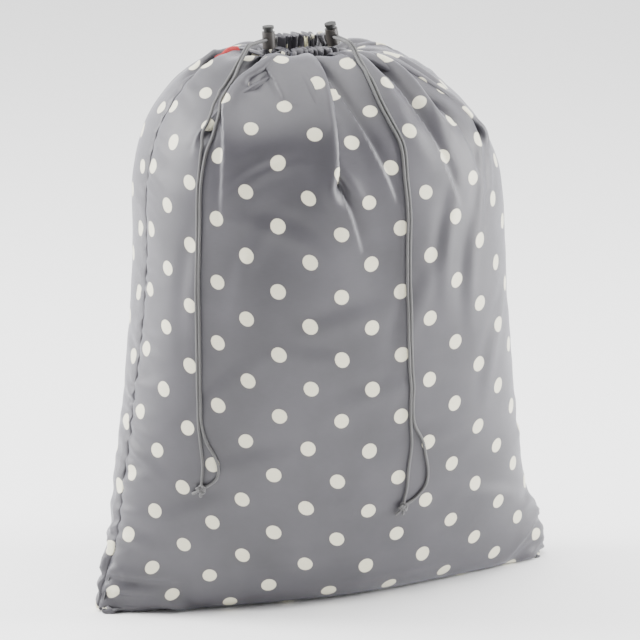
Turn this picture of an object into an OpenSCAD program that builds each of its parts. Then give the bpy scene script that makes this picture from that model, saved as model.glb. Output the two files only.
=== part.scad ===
// Drawstring laundry bag, stuffed full and standing on its bottom seam.
// Front of the bag faces -Y, the bag's width runs along X, and Z is up from the ground.

/* [Bag] */
// Half of the width across the two bottom corners
corner_reach = 206; // [190:1:220]
// Thickness of the modelled cloth wall
cloth = 1.2; // [0.8:0.1:2]
// Points round each panel's half section
panel_points = 25; // [13:2:41]

/* [Casing] */
// How far the gathered mouth sits to the left of the middle
mouth_shift = 16; // [0:1:20]
// Radius of the gathered ring's round ends, to the middle of the cord tunnel
ring_r = 12.5; // [11.5:0.5:14]
// Half length of the ring's straight sides
ring_straight = 10.5; // [6:0.5:14]
// Width of the cord tunnel from inside wall to outside wall
tunnel_w = 8; // [7:0.5:9]
// Height of the front half of the casing, which is tucked low
front_casing_h = 9; // [8:0.5:9]
// Height of the back half of the casing, which stands up
back_casing_h = 17; // [14:1:20]
// Half of the slit between the two halves, where the cords come out
slit = 8; // [7.5:0.5:9]

/* [Cords] */
// Diameter of the drawcord
cord_d = 2.4; // [2:0.1:2.4]
// Spacing of the two strands that hang side by side
strand_gap = 2.7; // [2.6:0.1:2.7]
// Diameter of the knot at the end of each drawcord
knot_d = 8; // [7:0.5:9]

/* [Cord locks] */
// Outer diameter of the barrel
barrel_d = 10.4; // [10:0.1:11]
// Length of the barrel
barrel_h = 13.5; // [13:0.5:15]
// Diameter of the plunger's stem
stem_d = 7.6; // [7.4:0.1:7.8]
// Diameter of the push button on the plunger
button_d = 9.4; // [8.5:0.1:10]
// Height of the push button
button_h = 2.2; // [1.5:0.1:3]
// How far the plunger can be pushed in
press = 2.3; // [1.5:0.1:2.4]
// How far each lock slides out along its straight strands
lock_travel = 18; // [8:1:18]

/* [Labels] */
// Length of the plain tab in the left seam
tab_l = 23; // [15:1:30]
// How far the tab stands out of the seam
tab_h = 7; // [4:0.5:10]
// Width of the care label
label_w = 14; // [10:1:16]
// Length of the care label
label_h = 40; // [20:1:45]

/* [Hidden] */
$fn = 64;

// Level sections of the stuffed bag from the ground to the gather:
// height, half width, half depth, roundness of the outline, shift along X
SECTIONS = [
    [0, corner_reach, 46, 1.5, 0], [7, 199, 56, 1.6, 0], [21, 198, 64, 1.75, 0],
    [47, 192, 71, 1.9, 0], [78, 185, 78, 2.1, 0], [112, 178, 86, 2.2, 0],
    [182, 168, 99, 2.35, 0], [251, 159, 108, 2.45, 0], [303, 155, 111, 2.5, 0],
    [355, 153, 111, 2.5, -1], [390, 145, 106, 2.45, -3], [409, 136, 98, 2.4, -5],
    [425, 123, 86, 2.3, -8], [442, 105, 70, 2.2, -11], [456, 79, 52, 2.1, -14],
    [461, 56, 36, 2.1, -mouth_shift], [458, 39, 26, 2.1, -mouth_shift],
    [453, 28, 17.5, 2.4, -mouth_shift], [452.8, 24, 13.2, 2.6, -mouth_shift]];
last = len(SECTIONS) - 1;
ring_z = 453;
// Least share of the wall's thickness that an inset section moves in by
least_inset = 0.5;

tunnel_wall = 1;
cord_z = ring_z + 5;
cord_r = cord_d / 2;
cord_sides = 8;
// A direction that no cord sets out along, to start its side direction from
any_side = [0.3, 0.5, 0.8];
left_track_r = ring_r - strand_gap / 2;
right_track_r = ring_r + strand_gap / 2;
arc_steps = 6;
// Extra turns of the track at the ends of the ring's straight sides, on the front and the back
FRONT_TURNS = [65, 89.9, 90.1];
BACK_TURNS = [269.9, 270.1, 295];
ring_middle = [-mouth_shift, 0, 0];
knot_gap = 0.3;

tape_half_w = 3;
tape_thick = 0.8;
tape_lift = 1.6;
tape_first = 2;
tape_last = 13;
bottom_tape_short = 26;

// Tab: its lower left corner, thickness and tilt
TAB_PLACE = [-87, -0.6, 459];
tab_thick = 1.2;
tab_tilt = -10;
// Care label: how far back it hangs, how far it rises over the gather, thickness
label_back = 7;
label_rise = 13;
label_thick = 0.8;

// Each lock: middle of its cord hole, heading of the strands, dip of the strands, lean of the barrel
LEFT_LOCK = [[-47, -7, 471], -59, 4, 0];
RIGHT_LOCK = [[6, -12, 471.6], 9, 4, -14];
lock_lead_in = 6.5;
lock_lead_out = barrel_d / 2 + lock_travel + 2;
barrel_below = 7.5;
hole_w = 2 * strand_gap + 0.4;
hole_h = 3;
bore_clearance = 0.1;
bore_floor = 0.9;
stem_below = 2.5;
stem_slot_low = 1.35;
stem_slot_spare = 0.6;
wire_r = 0.25;
wire_sides = 6;
spring_r = 2.6;
spring_turns = 3;
spring_steps = 12;

// Hanging pair of strands, from the end of the straight stretch down to where the strands part
LEFT_HANG = [[-77, -28, 464], [-86, -36, 455], [-96, -45, 446], [-107, -54, 433], [-118, -64, 415],
    [-125, -69, 398], [-130, -73, 373], [-132, -75, 347], [-133, -75, 317], [-134, -75, 282],
    [-134, -75, 247], [-133, -74, 212], [-132, -73, 177]];
RIGHT_HANG = [[12, -41, 467], [13, -48, 461], [14, -60, 453], [16, -72, 443], [19, -86, 429], [24, -98, 414],
    [30, -105, 397], [31, -111, 371], [33, -113, 341], [33, -113, 311], [35, -111, 275],
    [37, -108, 239], [41, -103, 203], [44, -98, 166]];
// Ends of the strands: the straight one and the one that bows out, down to the knot
LEFT_STRAIGHT = [[-131, -72, 157], [-129, -71, 138], [-129, -69, 124]];
LEFT_BOW = [[-127, -75, 158], [-121, -76, 147], [-117, -76, 136], [-118, -74, 126], [-124, -70, 120]];
LEFT_KNOT = [-130, -70, 117];
RIGHT_STRAIGHT = [[45, -94, 147], [45, -90, 119], [45, -86, 101]];
RIGHT_BOW = [[48, -97, 158], [54, -94, 148], [60, -90, 131], [64, -86, 116], [63, -83, 103], [53, -82, 92]];
RIGHT_KNOT = [42, -84, 87];
// Loops that bring each strand up from the tunnel to the lock, measured from the ring's middle
LEFT_FRONT_LOOP = [[-19.8, -5.5, 458], [-21, -2.5, 459], [-21.8, 0, 461.5], [-22, 1, 464.5],
    [-22, 0.2, 467.6], [-22.6, -1.7, 470.1], [-23.6, -3.6, 471.2]];
LEFT_BACK_LOOP = [[-19.6, 6.6, 458.6], [-21.6, 5, 460.6], [-23.4, 3.6, 463.6], [-24.2, 2, 467.2],
    [-24.6, 0, 470.2]];
RIGHT_FRONT_LOOP = [[23.2, -5, 458.3], [24, -2, 459.3], [23.6, 0.8, 462], [22.3, 2, 465.5],
    [21, 1.2, 468.9], [20.1, -1.5, 470.9]];
RIGHT_BACK_LOOP = [[23, 6.7, 458.6], [24.3, 5.4, 460.8], [24.9, 4.4, 464], [24.8, 3, 467.4],
    [23.9, 0.6, 470.3], [22.9, -2.5, 471.6]];

fabric = [0.46, 0.46, 0.48];
binding = [0.36, 0.36, 0.38];
cord_grey = [0.55, 0.55, 0.56];
barrel_grey = [0.38, 0.36, 0.35];
plunger_black = [0.1, 0.1, 0.1];
steel = [0.75, 0.75, 0.77];
tab_red = [0.8, 0.12, 0.15];
label_cream = [0.9, 0.88, 0.7];

// ---- outline of the bag ----

// Point at angle t, 0 to 180, round the front half of a section, from the left seam to the right
function outline(s, t) = [
    s[4] - s[1] * sign(cos(t)) * pow(abs(cos(t)), 2 / s[3]),
    -s[2] * pow(abs(sin(t)), 2 / s[3]),
    s[0]];

// Direction of the wall seen from the side, as [outwards, up]
function wall_normal(j) = let (
        below = SECTIONS[max(j - 1, 0)],
        above = SECTIONS[min(j + 1, last)],
        d = [above[2] - below[2], above[0] - below[0]])
    [d[1], -d[0]] / norm(d);

// The same section moved inwards by depth
function inset_section(j, depth) = let (s = SECTIONS[j], n = wall_normal(j))
    [s[0] - depth * (j == 0 ? 0 : n[1]), s[1] - depth, s[2] - depth * max(n[0], least_inset), s[3], s[4]];

function half_ring(s) = [for (i = [0 : panel_points - 1]) outline(s, 180 * i / (panel_points - 1))];

// Faces of a grid of points, rows of the same length, seen from one side
function grid_faces(rows, cols, first, flip) = [
    for (j = [0 : rows - 2], i = [0 : cols - 2])
        let (a = first + j * cols + i, b = a + 1, c = a + cols, d = c + 1)
            each flip ? [[a, d, b], [a, c, d]] : [[a, b, d], [a, d, c]]];

// Side strips that join the edges of two grids, as a loop of point numbers round the rim
function rim(rows, cols) = concat(
    [for (i = [0 : cols - 1]) i],
    [for (j = [1 : rows - 1]) j * cols + cols - 1],
    [for (i = [cols - 2 : -1 : 0]) (rows - 1) * cols + i],
    [for (j = [rows - 2 : -1 : 1]) j * cols]);

// A wall of cloth: an outer and an inner grid of points joined round their rims
module cloth_wall(outer, inner) {
    rows = len(outer);
    cols = len(outer[0]);
    count = rows * cols;
    edge = rim(rows, cols);
    polyhedron(
        points = concat([for (r = outer) each r], [for (r = inner) each r]),
        faces = concat(
            grid_faces(rows, cols, 0, true),
            grid_faces(rows, cols, count, false),
            [for (k = [0 : len(edge) - 1])
                let (a = edge[k], b = edge[(k + 1) % len(edge)])
                    each [[a, b, b + count], [a, b + count, a + count]]]));
}

module panel() {
    outer = [for (j = [0 : last]) half_ring(SECTIONS[j])];
    inner = [for (j = [0 : last]) half_ring(inset_section(j, cloth))];
    base = half_ring(SECTIONS[0]);
    union() {
        cloth_wall(outer, inner);
        linear_extrude(cloth) polygon([for (p = base) [p[0], p[1]]]);
    }
}

module front_panel() {
    color(fabric) panel();
}

module back_panel() {
    color(fabric) mirror([0, 1, 0]) panel();
}

// ---- gathered casing ----

module stadium(r, h) {
    translate([-ring_straight, -r, 0]) cube([2 * ring_straight, 2 * r, h]);
    for (side = [-1, 1]) translate([side * ring_straight, 0, 0]) cylinder(r = r, h = h);
}

module tunnel(h) {
    half_w = tunnel_w / 2;
    difference() {
        stadium(ring_r + half_w, h);
        translate([0, 0, -1]) stadium(ring_r - half_w, h + 2);
        translate([0, 0, tunnel_wall]) difference() {
            stadium(ring_r + half_w - tunnel_wall, h - 2 * tunnel_wall);
            translate([0, 0, -1]) stadium(ring_r - half_w + tunnel_wall, h + 2);
        }
    }
}

module half_casing(h, side) {
    reach = 2 * (ring_straight + ring_r + tunnel_w);
    translate([-mouth_shift, 0, ring_z]) intersection() {
        tunnel(h);
        translate([-reach / 2, side < 0 ? -slit - reach : slit, -1]) cube([reach, reach, h + 2]);
    }
}

module casing_front() {
    color(fabric) half_casing(front_casing_h, -1);
}

module casing_back() {
    color(fabric) half_casing(back_casing_h, 1);
}

// ---- seams and labels ----

// Point of a side seam's line, moved into the bag by depth
function seam_point(j, side, depth) = let (
        s = SECTIONS[j],
        d = [SECTIONS[j + 1][1] - SECTIONS[j - 1][1], SECTIONS[j + 1][0] - SECTIONS[j - 1][0]],
        n = [d[1], -d[0]] / norm(d))
    [s[4] + side * (s[1] - depth * n[0]), s[0] - depth * n[1]];

// Binding over the turned-in edges, up the inside of a side seam
module side_tape(side) {
    outside = [for (j = [tape_first : tape_last]) seam_point(j, side, cloth + tape_lift)];
    inside = [for (j = [tape_last : -1 : tape_first]) seam_point(j, side, cloth + tape_lift + tape_thick)];
    translate([0, tape_half_w, 0]) rotate([90, 0, 0])
        linear_extrude(2 * tape_half_w) polygon(concat(outside, inside));
}

module seam_tape_left() {
    color(binding) side_tape(-1);
}

module seam_tape_right() {
    color(binding) side_tape(1);
}

module seam_tape_bottom() {
    half_l = corner_reach - bottom_tape_short;
    color(binding) translate([-half_l, -tape_half_w, cloth + tape_lift])
        cube([2 * half_l, 2 * tape_half_w, tape_thick]);
}

module side_tab() {
    color(tab_red) translate(TAB_PLACE) rotate([0, tab_tilt, 0]) cube([tab_l, tab_thick, tab_h]);
}

module care_label() {
    color(label_cream) translate([-mouth_shift - 1, label_back, ring_z + label_rise - label_h])
        cube([label_w, label_thick, label_h]);
}

// ---- cord locks ----

// Direction in the bag's frame of a direction in the lock's own frame, where the strands leave
// along -Y, lie side by side along X, and the barrel stands along Z
function turn_x(v, a) = [v[0], v[1] * cos(a) - v[2] * sin(a), v[1] * sin(a) + v[2] * cos(a)];
function turn_y(v, a) = [v[0] * cos(a) + v[2] * sin(a), v[1], v[2] * cos(a) - v[0] * sin(a)];
function turn_z(v, a) = [v[0] * cos(a) - v[1] * sin(a), v[0] * sin(a) + v[1] * cos(a), v[2]];
function from_lock(lock, v) = turn_z(turn_x(turn_y(v, lock[3]), lock[2]), lock[1]);

module at_lock(lock) {
    translate(lock[0]) rotate([0, 0, lock[1]]) rotate([lock[2], 0, 0]) rotate([0, lock[3], 0]) children();
}

// Hole across the lock with round ends, wide enough for two strands
module cord_hole(low, high) {
    h = high - low;
    w = hole_w - h;
    translate([-w / 2, -barrel_d, low]) cube([w, 2 * barrel_d, h]);
    for (side = [-1, 1]) translate([side * w / 2, barrel_d, (low + high) / 2])
        rotate([90, 0, 0]) cylinder(d = h, h = 2 * barrel_d);
}

module lock_barrel() {
    color(barrel_grey) difference() {
        translate([0, 0, -barrel_below]) cylinder(d = barrel_d, h = barrel_h);
        translate([0, 0, bore_floor - barrel_below])
            cylinder(d = stem_d + 2 * bore_clearance, h = barrel_h);
        cord_hole(-hole_h / 2, hole_h / 2);
    }
}

module lock_plunger() {
    top = barrel_h - barrel_below + press;
    slot_high = stem_slot_low + 2 * press;
    color(plunger_black) difference() {
        union() {
            translate([0, 0, -stem_below]) cylinder(d = stem_d, h = top + stem_below);
            translate([0, 0, top]) cylinder(d = button_d, h = button_h);
        }
        translate([-hole_w / 2, -stem_d, -stem_slot_low])
            cube([hole_w, 2 * stem_d, stem_slot_low + slot_high - stem_slot_spare]);
    }
}

module lock_spring() {
    low = bore_floor - barrel_below + wire_r;
    rise = -stem_below - wire_r - low;
    steps = spring_turns * spring_steps;
    color(steel) tube(
        [for (k = [0 : steps])
            let (a = 360 * k / spring_steps)
                [spring_r * cos(a), spring_r * sin(a), low + rise * k / steps]],
        wire_r, wire_sides);
}

module left_lock_barrel() {
    at_lock(LEFT_LOCK) lock_barrel();
}

module left_lock_plunger() {
    at_lock(LEFT_LOCK) lock_plunger();
}

module left_lock_spring() {
    at_lock(LEFT_LOCK) lock_spring();
}

module right_lock_barrel() {
    at_lock(RIGHT_LOCK) lock_barrel();
}

module right_lock_plunger() {
    at_lock(RIGHT_LOCK) lock_plunger();
}

module right_lock_spring() {
    at_lock(RIGHT_LOCK) lock_spring();
}

// ---- cords ----

function unit(v) = v / norm(v);

// Direction of a route at one of its points
function heading(route, k) = let (
        a = route[max(k - 1, 0)],
        b = route[k],
        c = route[min(k + 1, len(route) - 1)])
    unit((k == 0 ? [0, 0, 0] : unit(b - a)) + (k == len(route) - 1 ? [0, 0, 0] : unit(c - b)));

// A round tube swept through the points of a route
module tube(route, r, sides) {
    rings = len(route);
    sideways = sides_along(route);
    points = [for (k = [0 : rings - 1])
        let (h = heading(route, k), u = sideways[k], v = cross(h, u))
            for (s = [0 : sides - 1]) route[k] + r * (cos(360 * s / sides) * u + sin(360 * s / sides) * v)];
    walls = [for (k = [0 : rings - 2], s = [0 : sides - 1])
        let (a = k * sides + s, b = k * sides + (s + 1) % sides)
            each [[a, b + sides, b], [a, a + sides, b + sides]]];
    polyhedron(
        points = points,
        faces = concat(
            walls,
            [[for (s = [0 : sides - 1]) s]],
            [[for (s = [sides - 1 : -1 : 0]) (rings - 1) * sides + s]]));
}

// Side direction at every point of a route, carried along so that the tube doesn't twist
function sides_along(route) = [
    for (k = 0, u = square_to(any_side, heading(route, 0));
        k < len(route);
        k = k + 1, u = k < len(route) ? square_to(u, heading(route, k)) : u) u];
function square_to(u, h) = unit(u - (u * h) * h);

// Point on a cord's track round the ring: t runs from 0 at the middle of the end where the cord
// comes out, by way of the front, to 180 at the other end, and on round the back
function track(end, r, t) = let (bend = cos(t) > 0 ? ring_straight : -ring_straight)
    [end * (bend + r * cos(t)) - mouth_shift, -r * sin(t), cord_z];

// The whole track from one side of the slit round to the other
function track_run(end, r) = let (
        out = asin(slit / r),
        turn = [for (k = [1 : arc_steps - 1]) 90 + 180 * k / arc_steps])
    [for (t = concat([out], FRONT_TURNS, turn, BACK_TURNS, [360 - out])) track(end, r, t)];

function moved(points, by) = [for (p = points) p + by];
function reversed(points) = [for (k = [len(points) - 1 : -1 : 0]) points[k]];

// Straight stretch of one strand through its lock, beside the lock's own middle line
function lock_stretch(lock, side) = let (
        out = from_lock(lock, [0, -1, 0]),
        beside = from_lock(lock, [side * strand_gap / 2, 0, 0]))
    [for (along = [-lock_lead_in, lock_lead_out]) lock[0] + beside + along * out];

// One strand from its lock to its knot; side is +1 for the strand on the lock's +X side
function strand(lock, side, hang, end) = let (
        beside = from_lock(lock, [side * strand_gap / 2, 0, 0]))
    concat(lock_stretch(lock, side), moved(hang, [beside[0], beside[1], 0]), end);

// A route with its last point, which stops at the knot's skin
function to_knot(route, knot) = concat(
    route, [knot + (knot_d / 2 + knot_gap) * unit(route[len(route) - 1] - knot)]);

module left_cord() {
    straight = to_knot(strand(LEFT_LOCK, -1, LEFT_HANG, LEFT_STRAIGHT), LEFT_KNOT);
    bow = to_knot(strand(LEFT_LOCK, 1, LEFT_HANG, LEFT_BOW), LEFT_KNOT);
    color(cord_grey) tube(
        concat(
            reversed(bow),
            reversed(moved(LEFT_FRONT_LOOP, ring_middle)),
            track_run(-1, left_track_r),
            moved(LEFT_BACK_LOOP, ring_middle),
            straight),
        cord_r, cord_sides);
}

module right_cord() {
    straight = to_knot(strand(RIGHT_LOCK, -1, RIGHT_HANG, RIGHT_STRAIGHT), RIGHT_KNOT);
    bow = to_knot(strand(RIGHT_LOCK, 1, RIGHT_HANG, RIGHT_BOW), RIGHT_KNOT);
    color(cord_grey) tube(
        concat(
            reversed(straight),
            reversed(moved(RIGHT_FRONT_LOOP, ring_middle)),
            track_run(1, right_track_r),
            moved(RIGHT_BACK_LOOP, ring_middle),
            bow),
        cord_r, cord_sides);
}

module knot(place) {
    color(cord_grey) translate(place) sphere(d = knot_d);
}

module left_knot() {
    knot(LEFT_KNOT);
}

module right_knot() {
    knot(RIGHT_KNOT);
}

front_panel();
back_panel();
casing_front();
casing_back();
seam_tape_left();
seam_tape_right();
seam_tape_bottom();
side_tab();
care_label();
left_cord();
right_cord();
left_knot();
right_knot();
left_lock_barrel();
left_lock_plunger();
left_lock_spring();
right_lock_barrel();
right_lock_plunger();
right_lock_spring();
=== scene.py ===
# Drawstring laundry bag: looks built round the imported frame. Metres; the bag's front faces -Y.
import math

import bpy
import numpy as np
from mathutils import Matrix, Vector
from mathutils.bvhtree import BVHTree


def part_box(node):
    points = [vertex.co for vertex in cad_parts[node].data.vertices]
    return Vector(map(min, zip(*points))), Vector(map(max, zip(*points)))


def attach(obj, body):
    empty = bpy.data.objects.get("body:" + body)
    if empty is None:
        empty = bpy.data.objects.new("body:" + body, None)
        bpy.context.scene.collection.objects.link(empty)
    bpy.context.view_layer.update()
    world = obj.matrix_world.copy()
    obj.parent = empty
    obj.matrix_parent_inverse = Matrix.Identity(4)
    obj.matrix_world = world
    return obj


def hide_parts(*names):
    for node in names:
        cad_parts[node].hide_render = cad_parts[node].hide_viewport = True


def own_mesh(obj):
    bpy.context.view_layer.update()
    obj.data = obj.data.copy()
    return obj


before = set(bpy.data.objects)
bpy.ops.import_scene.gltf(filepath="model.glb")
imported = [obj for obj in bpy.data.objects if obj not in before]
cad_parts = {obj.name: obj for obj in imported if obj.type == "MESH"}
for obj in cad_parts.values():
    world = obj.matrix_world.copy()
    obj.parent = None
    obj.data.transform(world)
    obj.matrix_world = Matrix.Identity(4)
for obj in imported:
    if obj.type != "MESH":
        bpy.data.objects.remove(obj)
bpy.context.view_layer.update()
MM = 0.001

# ---- camera ----

VIEW_AZIMUTH, VIEW_HEIGHT, VIEW_DISTANCE = math.radians(-21), math.radians(15), 2.5
AIM = Vector((0, 0, 0.228))
toward = Vector((math.sin(VIEW_AZIMUTH) * math.cos(VIEW_HEIGHT),
                 -math.cos(VIEW_AZIMUTH) * math.cos(VIEW_HEIGHT), math.sin(VIEW_HEIGHT)))
camera_data = bpy.data.cameras.new("camera")
camera_data.lens = 168.5
camera_data.shift_y = 0.004
camera = bpy.data.objects.new("camera", camera_data)
camera.location = AIM + toward * VIEW_DISTANCE
camera.rotation_euler = (-toward).to_track_quat("-Z", "Y").to_euler()
bpy.context.collection.objects.link(camera)
bpy.context.scene.camera = camera

# ---- sizes, as in the part's source ----

CORD_R = 1.2 * MM
STRAND_GAP = 2.7       # between the two strands in a lock
# The gathered ring, two half circles joined by straights: its place along X, its height, the cords' height
SHIFT, RING_Z, CORD_Z = -16, 453, 458
RING_R, RING_STRAIGHT = 12.5, 10.5
SLIT = 8               # half the slit that a cord leaves the tunnel by
LEAD_IN, LEAD_OUT = 6.5, 25.2   # straight stretch of the strands before and after a lock
# Each lock: middle of its cord hole, heading of the strands, dip of the strands, lean of the barrel
LEFT_LOCK = ((-47, -7, 471), -59, 4, 0)
RIGHT_LOCK = ((6, -12, 471.6), 9, 4, -14)
LEFT_HANG = [(-77, -28, 464), (-86, -36, 455), (-96, -45, 446), (-107, -54, 433), (-118, -64, 415),
             (-125, -69, 398), (-130, -73, 373), (-132, -75, 347), (-133, -75, 317), (-134, -75, 282),
             (-134, -75, 247), (-133, -74, 212), (-132, -73, 177)]
RIGHT_HANG = [(12, -41, 467), (13, -48, 461), (14, -60, 453), (16, -72, 443), (19, -86, 429), (24, -98, 414),
              (30, -105, 397), (31, -111, 371), (33, -113, 341), (33, -113, 311), (35, -111, 275),
              (37, -108, 239), (41, -103, 203), (44, -98, 166)]
LEFT_STRAIGHT = [(-131, -72, 157), (-129, -71, 138), (-129, -69, 124)]
LEFT_BOW = [(-127, -75, 158), (-121, -76, 147), (-117, -76, 136), (-118, -74, 126), (-124, -70, 120)]
LEFT_KNOT = (-130, -70, 117)
RIGHT_STRAIGHT = [(45, -94, 147), (45, -90, 119), (45, -86, 101)]
RIGHT_BOW = [(48, -97, 158), (54, -94, 148), (60, -90, 131), (64, -86, 116), (63, -83, 103), (53, -82, 92)]
RIGHT_KNOT = (42, -84, 87)
LEFT_FRONT_LOOP = [(-19.8, -5.5, 458), (-21, -2.5, 459), (-21.8, 0, 461.5), (-22, 1, 464.5),
                   (-22, 0.2, 467.6), (-22.6, -1.7, 470.1), (-23.6, -3.6, 471.2)]
LEFT_BACK_LOOP = [(-19.6, 6.6, 458.6), (-21.6, 5, 460.6), (-23.4, 3.6, 463.6), (-24.2, 2, 467.2),
                  (-24.6, 0, 470.2)]
RIGHT_FRONT_LOOP = [(23.2, -5, 458.3), (24, -2, 459.3), (23.6, 0.8, 462), (22.3, 2, 465.5),
                    (21, 1.2, 468.9), (20.1, -1.5, 470.9)]
RIGHT_BACK_LOOP = [(23, 6.7, 458.6), (24.3, 5.4, 460.8), (24.9, 4.4, 464), (24.8, 3, 467.4),
                   (23.9, 0.6, 470.3), (22.9, -2.5, 471.6)]


def turn(v, axis, degrees):
    """v turned about the X, Y or Z axis, which is 0, 1 or 2."""
    a, b = [(1, 2), (2, 0), (0, 1)][axis]
    c, s = math.cos(math.radians(degrees)), math.sin(math.radians(degrees))
    v = np.array(v, float)
    v[a], v[b] = v[a] * c - v[b] * s, v[a] * s + v[b] * c
    return v


def from_lock(lock, v):
    """A direction of the lock's frame (strands leave along -Y, the barrel stands along Z) in the bag's."""
    return turn(turn(turn(v, 1, lock[3]), 0, lock[2]), 2, lock[1])


def strand_route(lock, side, loop, hang, end, knot):
    """One strand from the slit in the casing by way of its lock down to its knot, in mm."""
    beside = from_lock(lock, (side * STRAND_GAP / 2, 0, 0))
    out = from_lock(lock, (0, -1, 0))
    middle = np.array(lock[0], float)
    route = [np.array(p) + (SHIFT, 0, 0) for p in loop]
    route += [middle + beside + way * out for way in (-LEAD_IN, 0, LEAD_OUT / 2, LEAD_OUT)]
    route += [np.array(p) + (beside[0], beside[1], 0) for p in hang]
    route += [np.array(p, float) for p in end] + [np.array(knot, float)]
    return np.array(route), len(loop) + 4


def track(end, r, degrees):
    """Point of a cord's run in the tunnel, r from the middle of the bend at the left or right end."""
    a = math.radians(degrees)
    bend = RING_STRAIGHT if math.cos(a) > 0 else -RING_STRAIGHT
    return (end * (bend + r * math.cos(a)) + SHIFT, -r * math.sin(a), CORD_Z)


def catmull(points, step):
    """Points every step or so along a smooth curve through the given ones."""
    p = np.array(points, float)
    p = np.vstack([2 * p[0] - p[1], p, 2 * p[-1] - p[-2]])
    out = []
    for k in range(1, len(p) - 2):
        a, b, c, d = p[k - 1:k + 3]
        n = max(2, int(round(np.linalg.norm(c - b) / step)))
        t = np.linspace(0, 1, n, endpoint=False)[:, None]
        ta = np.sqrt(np.linalg.norm(b - a) + 1e-9)
        tb = np.sqrt(np.linalg.norm(c - b) + 1e-9)
        tc = np.sqrt(np.linalg.norm(d - c) + 1e-9)
        m1 = tb * ((b - a) / ta - (c - a) / (ta + tb) + (c - b) / tb)
        m2 = tb * ((c - b) / tb - (d - b) / (tb + tc) + (d - c) / tc)
        out.append((2 * t ** 3 - 3 * t ** 2 + 1) * b + (t ** 3 - 2 * t ** 2 + t) * m1
                   + (3 * t ** 2 - 2 * t ** 3) * c + (t ** 3 - t ** 2) * m2)
    return np.vstack(out + [p[-2:-1]])


# ---- cloth of the bag ----
# A flat tube of fabric, sewn across the bottom, gathered at the top and pushed out by what it holds.
# The grid runs round the bag from the left seam by way of the front, and up from the bottom seam.

WIDTH, HEIGHT = 0.440, 0.566
# Stuffed shape from the bottom seam to the gather: height, half width, half depth, roundness, shift along X
SECTIONS = [
    (0, 213, 0, 1.3, 6), (0, 212, 24, 1.3, 6), (0, 211, 44, 1.4, 6), (8, 209, 55, 1.5, 7),
    (22, 205, 64, 1.6, 7), (45, 195, 71, 1.8, 5), (76, 184, 78, 2.1, 1), (112, 178, 86, 2.2, 0),
    (182, 167, 99, 2.35, 0), (251, 158, 108, 2.45, 0), (303, 154, 111, 2.5, 0), (355, 151, 111, 2.5, -2.5),
    (390, 141, 106, 2.45, -6), (409, 131, 98, 2.4, -9), (425, 118, 86, 2.3, -12), (442, 101, 70, 2.2, -14),
    (456, 77, 52, 2.1, -15.5), (461, 55, 36, 2.1, -16), (458, 39, 26, 2.1, -16), (453, 23, 12.5, 2.3, -16)]
# Pleats that run down from the gather: place round the cloth at the gather and at the end, length, step
PLEATS = [
    (22, 20, 60, 0), (50, 58, 135, -0.6), (68, 92, 165, -1.3), (108, 140, 88, -1.0), (146, 156, 50, 0),
    (172, 196, 190, 1.4), (212, 228, 170, 0.9), (243, 252, 60, 0.4), (272, 292, 175, 1.3),
    (306, 328, 175, 1.2), (348, 373, 110, 0.9), (392, 425, 95, 0.8), (428, 440, 50, 0),
    (463, 452, 110, -0.8), (500, 486, 160, -1.2), (538, 528, 70, 0), (574, 560, 175, -1.3),
    (612, 604, 80, 0.5), (650, 655, 150, 1.1), (688, 700, 60, 0), (722, 735, 180, 1.3), (762, 778, 90, 0.8),
    (800, 818, 150, 1.0), (842, 850, 75, 0.5)]
# Soft dents: place round the cloth, height up it, half width, half height, depth, turn
DENTS = [
    (235, 330, 26, 50, 3.0, 0.3), (150, 400, 30, 55, 2.5, -0.25), (300, 260, 34, 60, 2.2, 0.2),
    (200, 190, 60, 22, 1.8, 0.1), (90, 300, 24, 60, 2.0, 0.0), (120, 130, 50, 16, 1.6, 0.15),
    (330, 150, 60, 16, 1.8, -0.2), (260, 90, 70, 14, 1.6, 0.08), (370, 330, 26, 70, 2.2, 0.1),
    (640, 300, 40, 60, 2.6, 0.2), (560, 200, 60, 20, 2.0, -0.1), (760, 330, 30, 70, 2.4, -0.2),
    (700, 120, 70, 18, 1.8, 0.12), (500, 380, 30, 60, 2.4, 0.2), (820, 200, 40, 22, 2.0, 0.3)]
EAR_CREASES = [(52, 20, 85, 4.0), (30, 8, 70, 3.0)]   # height at the seam, at the end, reach, depth
AROUND, TALL = 2 * WIDTH / MM, HEIGHT / MM            # the flat tube, round and up, in mm
TABLE_ROWS, TABLE_COLS = 181, 360
VALLEY_DEEP, VALLEY_LONG = 11, 75                     # between the pleats at the gather
STEP_UP, CREST_WIDE, TROUGH_WIDE = 4.2, 24, 19        # the step that a pleat leaves below the gather


def unit(v):
    return v / (np.linalg.norm(v, axis=-1, keepdims=True) + 1e-12)


def smooth(a):
    a = np.clip(a, 0, 1)
    return a * a * (3 - 2 * a)


def bell(a, width):
    return np.exp(-(a / width) ** 2)


def cubic(p0, p1, p2, p3, t):
    """A smooth curve from p1 to p2 as t goes from 0 to 1."""
    return 0.5 * (2 * p1 + (p2 - p0) * t + (2 * p0 - 5 * p1 + 4 * p2 - p3) * t ** 2
                  + (3 * p1 - 3 * p2 + p3 - p0) * t ** 3)


def run_flat(x, y):
    """Distance run along a flat line at each of its points."""
    return np.concatenate([[0], np.cumsum(np.hypot(np.diff(x), np.diff(y)))])


def run(path):
    """Distance run along a path at each of its points."""
    return np.concatenate([[0], np.cumsum(np.linalg.norm(np.diff(path, axis=0), axis=1))])


def round_from(u, place):
    """Distance round the cloth from a place, the shorter way."""
    return (u - place + AROUND / 2) % AROUND - AROUND / 2


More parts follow.
